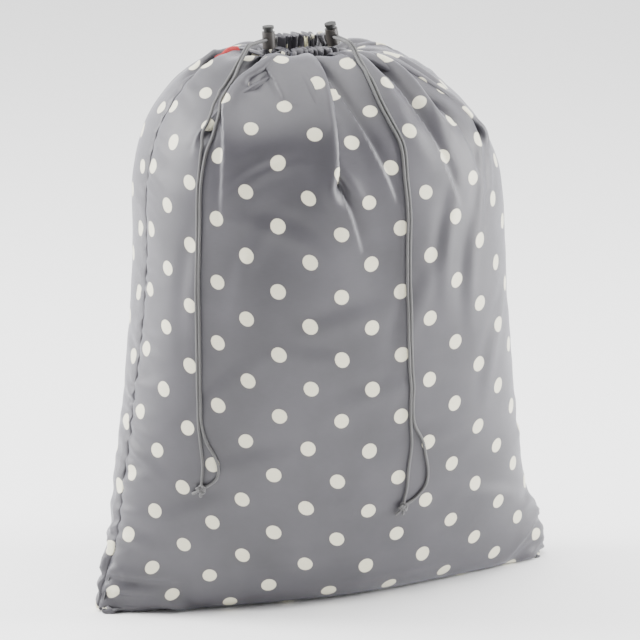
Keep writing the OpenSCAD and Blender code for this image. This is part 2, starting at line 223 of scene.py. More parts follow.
def smooth_sections(count):
    """count sections evenly spaced up the front's middle line."""
    s = np.array(SECTIONS, float)
    s[:, [0, 1, 2, 4]] *= MM
    s = np.vstack([2 * s[0] - s[1], s, 2 * s[-1] - s[-2]])
    t = np.linspace(0, 1, 24, endpoint=False)[:, None]
    fine = []
    for k in range(1, len(s) - 2):
        fine.append(cubic(*s[k - 1:k + 3], t))
    fine = np.vstack(fine + [s[-2:-1]])
    fine[:, 0] = np.maximum(fine[:, 0], 0)
    fine[:, 2] = np.maximum(fine[:, 2], 1e-5)
    arc = run_flat(fine[:, 0], fine[:, 2])
    want = np.linspace(0, arc[-1], count)
    return np.stack([np.interp(want, arc, fine[:, k]) for k in range(5)], 1)


def section_ring(z, a, b, n, shift, cols):
    """Points round one section, evenly spaced, from the left seam by way of the front."""
    t = np.linspace(0, math.pi, 721)
    c, s = np.cos(t), np.sin(t)
    x, y = -a * np.sign(c) * np.abs(c) ** (2 / n), -b * np.abs(s) ** (2 / n)
    arc = run_flat(x, y)
    even = np.linspace(0, arc[-1], cols // 2 + 1)
    fx, fy = np.interp(even, arc, x) + shift, np.interp(even, arc, y)
    fx, fy = np.concatenate([fx, fx[-2:0:-1]]), np.concatenate([fy, -fy[-2:0:-1]])
    return np.stack([fx, fy, np.full(cols, z)], 1)


def shape_table():
    """The stuffed shape as a table: point, step up, step round, outward direction."""
    p = np.array([section_ring(*s, TABLE_COLS) for s in smooth_sections(TABLE_ROWS)])
    up = np.gradient(p, axis=0)
    across = (np.roll(p, -1, 1) - np.roll(p, 1, 1)) / 2
    n = unit(np.cross(across, up))
    n[0] = (0, 0, -1)
    for _ in range(3):
        m = n.copy()
        m[1:-1] = (n[:-2] + 2 * n[1:-1] + n[2:]) / 4
        m = (np.roll(m, 1, 1) + 2 * m + np.roll(m, -1, 1)) / 4
        n = unit(m)
    return np.concatenate([p, up, across, n], -1).astype(np.float32)


def look_up(table, s, t):
    s = np.clip(s, 0, TABLE_ROWS - 1.001)
    t = t % TABLE_COLS
    i, j = s.astype(np.int32), t.astype(np.int32)
    fs, ft = (s - i)[..., None], (t - j)[..., None]
    j2 = (j + 1) % TABLE_COLS
    return ((table[i, j] * (1 - ft) + table[i, j2] * ft) * (1 - fs)
            + (table[i + 1, j] * (1 - ft) + table[i + 1, j2] * ft) * fs)


def follow(table, x, s, t):
    """Moves each cloth point's place in the table to the nearest point of the stuffed shape."""
    q = look_up(table, s, t)
    d, a, b = x - q[..., :3], q[..., 3:6], q[..., 6:9]
    aa, bb, ab = (a * a).sum(-1) + 1e-10, (b * b).sum(-1) + 1e-10, (a * b).sum(-1)
    da, db = (d * a).sum(-1), (d * b).sum(-1)
    det = np.maximum(aa * bb - ab * ab, 1e-3 * aa * bb)
    s = np.clip(s + np.clip((da * bb - db * ab) / det, -1.5, 1.5), 0, TABLE_ROWS - 1)
    t = t + np.clip((db * aa - da * ab) / det, -1.5, 1.5)
    q = look_up(table, s, t)
    return s, t, q[..., :3], q[..., 9:12]


def wanted_offset(rows, cols):
    """How far each point of the cloth lies off the stuffed shape: pleats, dents and creases."""
    u = (np.arange(cols) * AROUND / cols)[None]
    up = np.linspace(0, TALL, rows)[:, None]
    below = TALL - up
    half = AROUND / 2
    d = np.zeros((rows, cols))
    for k, (top, end, length, step) in enumerate(PLEATS):
        t = np.clip(below / length, 0, 1)
        a = round_from(u, top + (end - top) * t ** 1.2)
        after = PLEATS[(k + 1) % len(PLEATS)][0]
        gap = np.where(a < 0, (top - PLEATS[k - 1][0]) % AROUND, (after - top) % AROUND)
        fade = smooth(1.15 * (1 - t))
        d -= VALLEY_DEEP * smooth(1 - below / VALLEY_LONG) * fade * bell(a, 0.3 * gap)
        if step:
            h = abs(step) * STEP_UP * fade * (0.35 + 0.65 * smooth(below / 40))
            d += np.where(a * step < 0, 0.7 * h * bell(a, CREST_WIDE), -1.5 * h * bell(a, TROUGH_WIDE))
    for place, height, w, h, depth, angle in DENTS:
        a, b = round_from(u, place), up - height
        c, s = math.cos(angle), math.sin(angle)
        aa, bb = (a * c + b * s) / w, (b * c - a * s) / h
        d -= depth * (np.exp(-(aa * aa + bb * bb)) - 0.5 * np.exp(-((aa - 1.5) ** 2 + bb * bb)))
    for seam, side in ((0, 1), (half, -1), (half, 1), (AROUND, -1)):
        a = (u - seam) * side
        for v0, v1, reach, amount in EAR_CREASES:
            t = np.clip(a / reach, 0, 1)
            b = up - (v0 + (v1 - v0) * t ** 1.3)
            f = (1 - t) ** 0.8 * amount
            crease = np.where(b > 0, 0.6 * f * bell(b, 14), -f * bell(b, 10))
            d += np.where((a >= 0) & (a < reach), crease, 0)
    return (d * MM).astype(np.float32)


def ring_point(phase):
    """Point of the gathered ring's middle line, 0 at the left seam and 0.5 at the right, and the way out."""
    r, side = RING_R * MM, 2 * RING_STRAIGHT * MM
    bend = math.pi * r
    total = 2 * (side + bend)
    d = (phase % 1) * total
    edge = np.array([bend / 2, bend / 2 + side, 1.5 * bend + side, 1.5 * bend + 2 * side])
    before = [d < e for e in edge]
    a = np.select(before, [math.pi + d / r, 1.5 * math.pi, 1.5 * math.pi + (d - edge[1]) / r, 0.5 * math.pi],
                  0.5 * math.pi + (d - edge[3]) / r)
    x = np.select(before, [-side / 2, d - edge[0] - side / 2, side / 2, side / 2 - (d - edge[2])], -side / 2)
    out = np.stack([np.cos(a), np.sin(a)], -1)
    return out * r + np.stack([x + SHIFT * MM, 0 * d], -1), out


PLEAT_EDGES = np.array([p[0] for p in PLEATS] + [PLEATS[0][0] + AROUND]) / AROUND
PLEAT_REACH = np.random.default_rng(7).uniform(0.0075, 0.0105, len(PLEATS))


def pleated_ring(cols):
    """The pleats at the gather: place on the ring, way out, wave from -1 in a valley to 1, reach, number."""
    u = np.arange(cols) / cols
    u = np.where(u < PLEAT_EDGES[0], u + 1, u)
    k = np.clip(np.searchsorted(PLEAT_EDGES, u, side="right") - 1, 0, len(PLEATS) - 1)
    wide = PLEAT_EDGES[k + 1] - PLEAT_EDGES[k]
    t = (u - PLEAT_EDGES[k]) / wide
    point, out = ring_point((u + 0.1 * np.sin(4 * math.pi * t) * wide) % 1)
    return point, out, -np.cos(2 * math.pi * t), PLEAT_REACH[k], k


def normals(x):
    across = np.roll(x, -1, 1) - np.roll(x, 1, 1)
    up = np.gradient(x, axis=0)
    n = np.cross(across, up)
    return n / (np.sqrt((n * n).sum(-1, keepdims=True)) + 1e-12)


def sew_bottom(x):
    """Brings the front and the back together along the bottom seam."""
    half = x.shape[1] // 2
    seam = (x[0, 1:half] + x[0, :half:-1]) / 2
    x[0, 1:half] = seam
    x[0, :half:-1] = seam


def pull(a, b, rest, k):
    """Brings two sets of points towards their rest distance."""
    d = b - a
    length = np.sqrt(np.einsum("...k,...k->...", d, d)) + 1e-9
    d *= (k * 0.5 * (length - rest) / length)[..., None]
    a += d
    b -= d


def bend_force(x, axis):
    """How far bending stiffness moves each point, up the cloth or round it."""
    if axis == 1:
        c = np.roll(x, -1, 1) + np.roll(x, 1, 1) - 2 * x
        c[:, [0, x.shape[1] // 2]] = 0
        c[0] = 0
        return np.roll(c, -1, 1) + np.roll(c, 1, 1) - 2 * c
    c = np.zeros_like(x)
    c[1:-1] = x[2:] + x[:-2] - 2 * x[1:-1]
    out = np.zeros_like(x)
    out[1:-1] = c[2:] + c[:-2] - 2 * c[1:-1]
    return out


def relax(table, x, s, t, rim, want, steps, push, ground, bend, offsets):
    """Settles the cloth: it keeps its flat lengths while the contents push it out to the stuffed shape."""
    rows, cols = x.shape[:2]
    half = cols // 2
    across, up = 2 * WIDTH / cols, HEIGHT / (rows - 1)
    rest = np.full((rows - 1, cols), up, np.float32)
    rest[:, [0, half]] *= SEAM_SHORT
    wide = np.full((rows, 1), across, np.float32)
    wide[:len(TAKEN_IN)] *= np.array(TAKEN_IN)[:, None]
    near = np.clip((np.linspace(0, HEIGHT, rows)[:, None] - (HEIGHT - NECK)) / NECK, 0, 1).astype(np.float32)
    least, most = -(0.010 + 0.014 * near ** 1.2), 0.0045 + 0.003 * near
    top = int(rows * KEPT_APART)
    before = x.copy()
    for step in range(steps):
        v = (x - before) * DAMPING
        before = x.copy()
        x += v
        if step % 4 == 0:
            n = normals(x)
        if step % 8 == 0:
            s, t, on, out = follow(table, x, s, t)
        off = ((x - on) * out).sum(-1)
        off = ground * (off - want) + 0.4 * np.maximum(off - most, 0) + 0.4 * np.minimum(off - least, 0)
        x += push * n - off[..., None] * out
        order = (0, 1) if step % 2 else (1, 0)
        for k in order:
            if k:
                pull(x[:, 1:-1:2], x[:, 2::2], wide, 1)
                pull(x[:, -1], x[:, 0], wide[:, 0], 1)
            else:
                pull(x[:, 0::2], x[:, 1::2], wide, 1)
        for k in order:
            pull(x[k:-1:2], x[k + 1::2], rest[k::2], 1)
        if step % 2 == 0:
            for k in (0, 1):
                a, b = x[k:-1:2], x[k + 1::2]
                for side in (1, -1):
                    r = np.roll(b, -side, 1)
                    pull(a, r, math.hypot(across, up), 0.25)
                    b[:] = np.roll(r, side, 1)
        x -= bend * bend_force(x, 1)
        x -= bend * bend_force(x, 0)
        for o in offsets:
            if (step + o) % 3 == 0:
                a = x[-top:]
                d = np.roll(a, -o, 1) - a
                length = np.sqrt((d * d).sum(-1)) + 1e-9
                d *= (0.25 * np.maximum(APART - length, 0) / length)[..., None]
                a -= d
                a += np.roll(d, o, 1)
        sew_bottom(x)
        np.maximum(x[..., 2], 0, out=x[..., 2])
        x[-1] = rim
    return x, s, t


def finer(a, rows, cols):
    """A grid of points made finer: closed round, open up and down."""
    at = np.linspace(0, a.shape[0] - 1, rows)
    i = np.minimum(at.astype(int), a.shape[0] - 2)
    f = (at - i)[:, None, None]
    a = a[i] * (1 - f) + a[i + 1] * f
    at = np.arange(cols) * a.shape[1] / cols
    j = at.astype(int)
    f = (at - j)[None, :, None]
    return (a[:, j] * (1 - f) + a[:, (j + 1) % a.shape[1]] * f).astype(np.float32)


SEAM_SHORT = 0.955     # the side seams take the cloth in
TAKEN_IN = (0.968, 0.975, 0.985, 0.993)   # width of the lowest rows, which the bottom seam holds
NECK = 0.14            # height below the gather over which the cloth may leave the stuffed shape further
APART, KEPT_APART = 0.0028, 0.36          # folds stay this far apart in this share of the rows, the top ones
DAMPING = 0.92
# rows, columns, steps, push, hold, stiffness, and the columns kept apart, from coarse to fine
LEVELS = [(47, 72, 500, 2.4e-5, 0.03, 0.002, ()), (93, 144, 500, 1.0e-5, 0.02, 0.012, (2, 3, 4, 5)),
          (185, 288, 360, 0.45e-5, 0.014, 0.05, (3, 4, 5, 6, 7, 8, 10, 12))]


def settle_cloth():
    """The sewn tube settled on what it holds, on finer and finer grids."""
    table = shape_table()
    rng = np.random.default_rng(7)
    x = None
    for rows, cols, steps, push, ground, bend, offsets in LEVELS:
        want = wanted_offset(rows, cols)
        if x is None:
            s, t = (a.astype(np.float32) for a in np.meshgrid(
                np.linspace(0, TABLE_ROWS - 1, rows), np.arange(cols) * TABLE_COLS / cols, indexing="ij"))
            q = look_up(table, s, t)
            x = (q[..., :3] + q[..., 9:] * want[..., None]).astype(np.float32)
        else:
            x = finer(x, rows, cols)
            angle = t * 2 * math.pi / TABLE_COLS
            st = finer(np.stack([s, np.cos(angle), np.sin(angle)], -1), rows, cols)
            s = st[..., 0]
            t = (np.arctan2(st[..., 2], st[..., 1]) * TABLE_COLS / 2 / math.pi).astype(np.float32)
        x += (rng.standard_normal(x.shape) * 0.0003).astype(np.float32)
        point, out, wave, reach, _ = pleated_ring(cols)
        off = wave * reach * (1 if cols > 100 else 0.5)
        rim = np.column_stack([point + out * off[:, None], np.full(cols, RING_Z * MM)]).astype(np.float32)
        push, ground, bend = np.float32(push), np.float32(ground), np.float32(bend)
        x, s, t = relax(table, x, s, t, rim, want, steps, push, ground, bend, offsets)
    return x.astype(float)


# ---- fine relief: folds, crumples, puckers and creases ----

FINE_ROWS, FINE_COLS = 280, 576
SEAM_SLIP = 9          # how far the left seam is drawn round to the front, mm
# Knife folds: their line as (place round the cloth, distance below the gather), how far the near side
# stands up, and the side that the folded edge faces
FOLDS = [
    ([(178, 6), (181, 30), (184, 62), (189, 110), (199, 160), (214, 210)], 4.8, 1),
    ([(214, 8), (220, 40), (228, 80), (237, 130), (246, 175)], 3.2, 1),
    ([(243, 6), (249, 30), (257, 62), (264, 90)], 2.2, 1),
    ([(272, 8), (279, 45), (287, 90), (296, 140), (306, 190)], 4.2, 1),
    ([(306, 8), (313, 45), (321, 90), (331, 140), (340, 185)], 4.0, 1),
    ([(330, 10), (338, 40), (346, 75)], 1.8, 1),
    ([(348, 8), (358, 40), (371, 85), (382, 130)], 3.4, 1),
    ([(392, 8), (404, 40), (420, 80), (430, 110)], 2.6, 1),
    ([(108, 8), (116, 30), (128, 60), (140, 92)], 3.2, -1),
    ([(68, 8), (76, 50), (86, 100), (94, 155), (97, 190)], 2.8, -1),
    ([(50, 8), (53, 50), (57, 95), (60, 140)], 2.2, -1),
    ([(463, 8), (458, 50), (452, 110)], 2.4, -1),
    ([(500, 8), (494, 60), (487, 120), (484, 165)], 3.0, -1),
    ([(574, 8), (568, 60), (561, 120), (558, 175)], 3.0, -1),
    ([(612, 8), (609, 40), (605, 80)], 2.0, 1),
    ([(650, 8), (652, 60), (655, 110), (657, 150)], 2.8, 1),
    ([(722, 8), (727, 60), (733, 130), (737, 180)], 3.2, 1),
    ([(762, 8), (769, 40), (777, 88)], 2.2, 1),
    ([(800, 8), (807, 60), (815, 120), (819, 150)], 2.6, 1),
    ([(842, 8), (846, 40), (850, 75)], 2.0, 1)]
# Across a fold, mm: its roll and its sharp edge, then the valley's place, its far side and its near side
FOLD_ROLL, FOLD_EDGE, VALLEY_AT, VALLEY_FAR, VALLEY_NEAR = 13, 1.6, 3.2, 6.5, 1.8
OVERHANG = 3.4         # how far the edge of a fold leans over its valley, mm
# Crumples: place, height, half length, half width, turn, depth
CRUMPLES = [
    (126, 418, 30, 7, 0.5, 1.6), (150, 372, 34, 8, -0.3, 1.3), (120, 350, 38, 8, 1.1, 1.3),
    (200, 300, 42, 9, 0.2, 1.2), (186, 268, 40, 8, -0.25, 1.2), (236, 236, 46, 9, 0.15, 1.2),
    (262, 300, 40, 9, 1.2, 1.4), (292, 352, 38, 7, 1.35, 1.6), (318, 330, 42, 7, 1.45, 1.6),
    (342, 392, 40, 6, 1.1, 1.6), (364, 404, 36, 6, 0.95, 1.5), (350, 250, 36, 8, 1.2, 1.2),
    (96, 236, 40, 8, 0.9, 1.2), (70, 330, 44, 8, 1.4, 1.2), (130, 180, 50, 9, 0.25, 1.2),
    (210, 140, 56, 9, -0.1, 1.2), (300, 190, 50, 9, 0.1, 1.1), (160, 90, 60, 8, 0.12, 1.2),
    (270, 70, 64, 8, -0.08, 1.2), (360, 110, 44, 8, -0.4, 1.3), (70, 130, 40, 8, 0.5, 1.4),
    (560, 330, 44, 8, 1.4, 1.4), (620, 250, 46, 9, 0.4, 1.3), (700, 360, 40, 8, 1.2, 1.4),
    (760, 240, 46, 9, 0.9, 1.3), (660, 150, 60, 9, 0.1, 1.3), (520, 140, 48, 8, -0.3, 1.3),
    (800, 150, 44, 8, 0.3, 1.3)]
# Puckers beside the side seams: lowest, highest, then the least and most of gap, reach, width and slope
PUCKERS_FROM, PUCKERS_TO = 24.0, 520
PUCKER_GAP, PUCKER_REACH, PUCKER_WIDTH, PUCKER_SLOPE = (6, 19), (14, 44), (2.6, 4.6), (-0.55, 0.35)
SEAM_SUNK = 1.8        # depth of the groove along a side seam, mm
GROUND_GAP = 0.9 * MM  # the middle of the cloth stays this far off the ground
# Creases at the corners: height at the seam and at the end, reach, depth
LEFT_EAR = [(66, 61, 80, 2.6), (52, 45, 62, 2.0), (27, 8, 96, 1.5)]
RIGHT_EAR = [(70, 38, 60, 2.4), (44, 16, 50, 1.6), (22, 6, 70, 1.4)]


def spline(a, at):
    """Rows of a read at fractional places along its first axis, smoothly."""
    last = len(a) - 1
    i = np.clip(at.astype(int), 0, last - 1)
    t = (at - i).reshape(-1, *[1] * (a.ndim - 1))
    p0 = np.where((i > 0).reshape(t.shape), a[np.maximum(i - 1, 0)], 2 * a[i] - a[i + 1])
    p3 = np.where((i < last - 1).reshape(t.shape), a[np.minimum(i + 2, last)], 2 * a[i + 1] - a[i])
    return cubic(p0, a[i], a[i + 1], p3, t)


def folds_and_crumples(u, v):
    """Relief along the normals and slide round the cloth, in mm, of the knife folds and the crumples."""
    below = TALL - v
    d, slide = np.zeros(np.broadcast(u, v).shape), np.zeros(np.broadcast(u, v).shape)
    for line, height, side in FOLDS:
        places, lows = np.array(line, float).T
        middle = np.interp(below[:, 0], lows, places)[:, None]
        t = (below - lows[0]) / (lows[-1] - lows[0])
        fade = smooth(t * 12) * np.clip(1 - t, 0, 1) ** 0.55 * (t > 0)
        a = round_from(u, middle) * side
        near = np.where(a < 0, bell(a, FOLD_ROLL), bell(a, FOLD_EDGE))
        far = np.where(a > 0, bell(a - VALLEY_AT, VALLEY_FAR), bell(a - VALLEY_AT, VALLEY_NEAR))
        d += height * fade * (0.8 * near - 0.9 * far)
        slide += side * OVERHANG * min(height / 3, 1.1) * fade * bell(a + 1.2, 3.6)
    for place, height, long, wide, turned, depth in CRUMPLES:
        a, b = round_from(u, place), v - height
        c, s = math.cos(turned), math.sin(turned)
        aa = (a * c + b * s) / long
        bb = (b * c - a * s + 5 * aa * aa) / wide
        d += depth * bell(aa, 1) * (bell(bb, 1) - 0.8 * bell(bb - 1.5, 1))
    return d, slide


def seam_relief(d, u, v):
    """Adds the puckers and the grooves of the side seams, and the creases at the corners."""
    rng = np.random.default_rng(31)
    half = AROUND / 2
    for seam in (0, half):
        a = round_from(u, seam)
        for side in (-1, 1):
            v0 = PUCKERS_FROM
            while v0 < PUCKERS_TO:
                amount = rng.uniform(0.5, 1.5) * (0.55 + 0.8 * math.exp(-((v0 - 150) / 110) ** 2))
                reach, w, slope = (rng.uniform(*span) for span in (PUCKER_REACH, PUCKER_WIDTH, PUCKER_SLOPE))
                away = np.clip(a * side, 0, None)
                bb = (v - v0 - slope * away) / (w * (1 + away / 40))
                fan = bell(away, reach) * smooth(a * side / 3 + 0.6) * smooth((560 - v0) / 60)
                d += amount * fan * (bell(bb, 1) - 0.75 * bell(bb - 1.6, 1))
                v0 += rng.uniform(*PUCKER_GAP)
        d -= SEAM_SUNK * np.exp(-np.abs(a) / 2.6) * smooth(v / 20)
    for seam, side, creases in ((0, 1, LEFT_EAR), (half, -1, RIGHT_EAR), (half, 1, RIGHT_EAR),
                                (AROUND, -1, LEFT_EAR)):
        a = (u - seam) * side
        for v0, v1, reach, amount in creases:
            t = np.clip(a / reach, 0, 1)
            b = v - (v0 + (v1 - v0) * t ** 1.4)
            fade = (1 - t) ** 0.7 * smooth(a / 4) * (a < reach)
            d += amount * fade * np.where(b > 0, 0.7 * bell(b, 9), 0.7 * bell(b, 1.3))
            d -= amount * fade * np.where(b < 0, bell(b + 3, 6), bell(b + 3, 1.8))


def fine_cloth(x):
    """The settled cloth on a finer grid, closer together near the gather, with its fine relief raised."""
    rows, cols = x.shape[:2]
    even = np.linspace(0, 1, FINE_ROWS)
    share = even + 0.13 * np.sin(math.pi * even)
    up = share * HEIGHT / MM
    tall = spline(x, share * (rows - 1))
    place = np.arange(FINE_COLS) / FINE_COLS
    near_left = np.minimum(place, 1 - place) * AROUND
    held = smooth((up - 12) / 90) * (1 - smooth((up - 450) / 80))
    slip = SEAM_SLIP * smooth(1 - near_left / 150)[None] * held[:, None]
    at = (place[None] * cols + slip * cols / AROUND) % cols
    i = at.astype(int)
    row = np.arange(FINE_ROWS)[:, None]
    fine = cubic(*(tall[row, (i + k) % cols] for k in (-1, 0, 1, 2)), (at - i)[..., None])
    u, v = (np.arange(FINE_COLS) * AROUND / FINE_COLS)[None], up[:, None]
    d, slide = folds_and_crumples(u, v)
    seam_relief(d, u, v)
    edges = smooth((TALL - v) / 14), smooth(v / 10)
    half = AROUND / 2
    seam_hold = smooth(np.minimum((u + half) % half, half - u % half) / 7)
    d = d * (edges[0] * edges[1])
    slide = slide * (edges[0] * edges[1]) * seam_hold
    across = unit(np.roll(fine, -1, 1) - np.roll(fine, 1, 1))
    fine = fine + normals(fine) * (d * MM)[..., None] + across * (slide * MM)[..., None]
    fine[..., 2] = np.maximum(fine[..., 2], GROUND_GAP)
    sew_bottom(fine)
    return fine, up * MM


cloth, UP = fine_cloth(settle_cloth())
ROWS, COLS = cloth.shape[:2]
HALF = COLS // 2

# ---- helpers for pieces ----


def piece(name, points, faces, material, uv, replaces=(), body="bag", thick=0.0, offset=-1.0, soften=0):
    """A mesh in place, with a flat map in metres, riding on a body."""
    mesh = bpy.data.meshes.new(name)
    mesh.from_pydata([tuple(map(float, p)) for p in points], [], [tuple(map(int, f)) for f in faces])
    index = np.zeros(len(mesh.loops), int)
    mesh.loops.foreach_get("vertex_index", index)
    mesh.uv_layers.new(name="Flat").data.foreach_set("uv", np.asarray(uv, np.float32)[index].ravel())
    mesh.polygons.foreach_set("use_smooth", [True] * len(mesh.polygons))
    mesh.materials.append(material)
    mesh.validate()
    thing = bpy.data.objects.new(name, mesh)
    bpy.context.collection.objects.link(thing)
    if soften:
        thing.modifiers.new("soften", "SUBSURF").levels = soften
        thing.modifiers["soften"].render_levels = soften
    if thick:
        wall = thing.modifiers.new("wall", "SOLIDIFY")
        wall.thickness, wall.offset = thick, offset
    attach(thing, body)
    if replaces:
        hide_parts(*replaces)
    return thing


def grid_faces(rows, cols, wrap=False):
    last = cols if wrap else cols - 1
    return [(j * cols + i, j * cols + (i + 1) % cols, (j + 1) * cols + (i + 1) % cols, (j + 1) * cols + i)
            for j in range(rows - 1) for i in range(last)]


def along(path):
    return unit(np.gradient(path, axis=0))


def carried_sides(path):
    """The heading and a sideways direction at every point of a path, carried along without twist."""
    heading = along(path)
    u = np.array((0.3, 0.5, 0.8))
    out = []
    for h in heading:
        u = u - (u @ h) * h
        u = u / np.linalg.norm(u)
        out.append(u)
    return heading, np.array(out)


CAP_BULGE = 0.35       # height of a tube's rounded end, as a share of its radius


def tube_mesh(path, radius, sides, caps=True):
    """Points, faces and map of a round tube along a path; radius may change along it."""
    heading, u = carried_sides(path)
    v = np.cross(heading, u)
    r = np.broadcast_to(radius, (len(path),))
    angle = np.arange(sides) * 2 * math.pi / sides
    c, s = np.cos(angle)[None, :, None], np.sin(angle)[None, :, None]
    rings = path[:, None] + r[:, None, None] * (c * u[:, None] + s * v[:, None])
    length = run(path)
    points, faces = rings.reshape(-1, 3), grid_faces(len(path), sides, wrap=True)
    uv = np.stack([np.repeat(length, sides), np.tile(angle / 2 / math.pi, len(path))], 1)
    if caps:
        first, last = path[:1] - heading[:1] * r[0] * CAP_BULGE, path[-1:] + heading[-1:] * r[-1] * CAP_BULGE
        points = np.vstack([points, first, last])
        uv = np.vstack([uv, [[0, 0.5]], [[length[-1], 0.5]]])
        n, end = len(path) * sides, (len(path) - 1) * sides
        faces += [(n, (k + 1) % sides, k) for k in range(sides)]
        faces += [(n + 1, end + k, end + (k + 1) % sides) for k in range(sides)]
    return points, faces, uv


def joined(parts):
    """Several (points, faces, map) put into one."""
    points, faces, uv, n = [], [], [], 0
    for p, f, m in parts:
        points.append(p)
        uv.append(m)
        faces += [tuple(k + n for k in face) for face in f]
        n += len(p)
    return np.vstack(points), faces, np.vstack(uv)


# ---- materials ----

class Nodes:
    """Short ways to make and link the nodes of one material."""

    def __init__(self, name):
        self.material = bpy.data.materials.new(name)
        self.material.use_nodes = True
        self.tree = self.material.node_tree
        self.shader = self.tree.nodes["Principled BSDF"]

    def put(self, socket, value):
        if isinstance(value, bpy.types.NodeSocket):
            self.tree.links.new(value, socket)
        else:
            socket.default_value = value

    def node(self, kind, **sockets):
        n = self.tree.nodes.new(kind)
        for key, value in sockets.items():
            if key.startswith("_"):
                self.put(n.inputs[int(key[1:])], value)
            elif key in n.bl_rna.properties:
                setattr(n, key, value)
            else:
                self.put(n.inputs[key.replace("__", " ")], value)
        return n

    def math(self, operation, a, b=0.0, c=0.0):
        n = self.node("ShaderNodeMath", operation=operation)
        for socket, value in zip(n.inputs, (a, b, c)):
            self.put(socket, value)
        return n.outputs[0]

    def plus(self, a, b):
        return self.math("ADD", a, b)

    def less(self, a, b):
        return self.math("SUBTRACT", a, b)

    def times(self, a, b):
        return self.math("MULTIPLY", a, b)

    def fit(self, a, scale, base):
        return self.math("MULTIPLY_ADD", a, scale, base)

    def wave(self, a, length):
        return self.math("SINE", self.times(a, 2 * math.pi / length))

    def mix(self, factor, a, b, blend="MIX"):
        n = self.node("ShaderNodeMix", data_type="RGBA", blend_type=blend)
        self.put(n.inputs[0], factor)
        self.put(n.inputs[6], a)
        self.put(n.inputs[7], b)
        return n.outputs[2]

    def noise(self, scale, detail, where=None):
        n = self.node("ShaderNodeTexNoise", Scale=scale, Detail=detail)
        if where is None:
            where = self.node("ShaderNodeTexCoord").outputs["Object"]
        self.put(n.inputs["Vector"], where)
        return n.outputs[0]

    def ramp(self, value, low, high):
        return self.eased(value, low, high, 0.0, 1.0, "LINEAR")

    def eased(self, value, low, high, at_low, at_high, curve="SMOOTHSTEP"):
        n = self.node("ShaderNodeMapRange", interpolation_type=curve, clamp=True)
        for socket, v in zip(n.inputs, (value, low, high, at_low, at_high)):
            self.put(socket, v)
        return n.outputs[0]

    def flat(self):
        n = self.node("ShaderNodeUVMap", uv_map="Flat")
        s = self.node("ShaderNodeSeparateXYZ", _0=n.outputs[0])
        return n.outputs[0], s.outputs[0], s.outputs[1]

    def bump(self, height, strength, distance):
        n = self.node("ShaderNodeBump", Strength=strength, Distance=distance, Height=height)
        self.put(self.shader.inputs["Normal"], n.outputs[0])

    def worn(self, patches, colour, share):
        """The colour, darker in patches."""
        return self.mix(patches, colour, tuple(c * share for c in colour[:3]) + (1,))

    def set(self, **values):
        for key, value in values.items():
            self.put(self.shader.inputs[key.replace("__", " ")], value)
        return self.material


GREY, GREY_DEEP = (0.064, 0.061, 0.071, 1), (0.046, 0.044, 0.051, 1)
CREAM, CREAM_RIM = (0.70, 0.67, 0.51, 1), (0.62, 0.58, 0.47, 1)
DOT_STEP, DOT_R = 0.0262, 0.00625
DOT_EDGE, DOT_RIM = 0.0002, 0.0014     # the soft edge of the ink, and the darker ring inside it
THREAD = 0.00042


def fabric(name, shift_u, shift_v):
    """Printed satin weave: cream dots in a half-drop pattern on grey."""
    m = Nodes(name)
    where, u, v = m.flat()
    a = m.plus(m.less(u, shift_u), m.times(m.math("MINIMUM", m.less(v, 0.3), 0.0), 0.045))
    b = m.plus(m.less(v, shift_v), m.times(m.less(u, 0.172), 0.035))
    # The cloth was cut a little off the thread, so the rows of dots drift
    drift_a = m.fit(m.eased(v, 0.160, 0.230, 0.007, 0), m.eased(u, 0.080, 0.300, 1, 0), 0.002)
    drift_a = m.fit(m.eased(v, 0.380, 0.430, 0, 0.006), m.eased(u, 0.185, 0.215, 1, 0), drift_a)
    drift_a = m.fit(m.eased(v, 0.010, 0.090, 0.005, 0), m.eased(u, 0.180, 0.260, 1, 0), drift_a)
    drift_a = m.plus(drift_a, m.eased(v, 0.020, 0.090, 0.006, 0))
    drift_b = m.times(m.eased(u, 0.055, 0.165, 0.008, 0, "LINEAR"), m.eased(v, 0.250, 0.360, -1, 0))
    far = m.eased(u, 0.165, 0.215, 0, 1, "LINEAR")
    drift_b = m.fit(far, m.eased(v, 0.160, 0.240, 0.0064, 0.0032), drift_b)
    high = m.plus(m.eased(v, 0.370, 0.430, 0, 0.0045), m.eased(v, 0.440, 0.500, 0, 0.010))
    a, b = m.plus(a, drift_a), m.plus(b, m.plus(drift_b, high))
    ragged = m.times(m.less(m.noise(900, 2, where), 0.5), 0.0005)

    def nearest(off):
        x, y = (m.math("PINGPONG", m.plus(place, off), DOT_STEP) for place in (a, b))
        return m.math("SQRT", m.plus(m.times(x, x), m.times(y, y)))

    away = m.plus(m.math("MINIMUM", nearest(0.0), nearest(DOT_STEP)), ragged)
    ink = m.less(1.0, m.ramp(away, DOT_R - DOT_EDGE, DOT_R + DOT_EDGE))
    rim = m.times(m.ramp(away, DOT_R - DOT_RIM, DOT_R), ink)
    cloudy = m.noise(16, 4, where)
    ground = m.mix(m.ramp(cloudy, 0.35, 0.7), GREY, GREY_DEEP)
    cream = m.mix(m.times(rim, 0.35), CREAM, CREAM_RIM)
    slub = m.noise(1.0, 2.0, m.node("ShaderNodeMapping", Vector=where, Scale=(140, 2600, 1)).outputs[0])
    shade = m.fit(m.less(slub, 0.5), 0.22, 1.0)
    grey = m.node("ShaderNodeCombineColor", _0=shade, _1=shade, _2=shade).outputs[0]
    m.bump(m.plus(m.times(m.times(m.wave(u, THREAD), m.wave(v, THREAD)), 0.5), slub), 0.35, 0.00012)
    return m.set(Base__Color=m.mix(1.0, m.mix(ink, ground, cream), grey, "MULTIPLY"),
                 Roughness=m.fit(cloudy, 0.12, 0.34), Sheen__Weight=0.25, Sheen__Roughness=0.35,
                 Sheen__Tint=(0.85, 0.87, 1, 1), Specular__IOR__Level=0.5)


PLAIT = 0.0021         # length of one turn of the braid


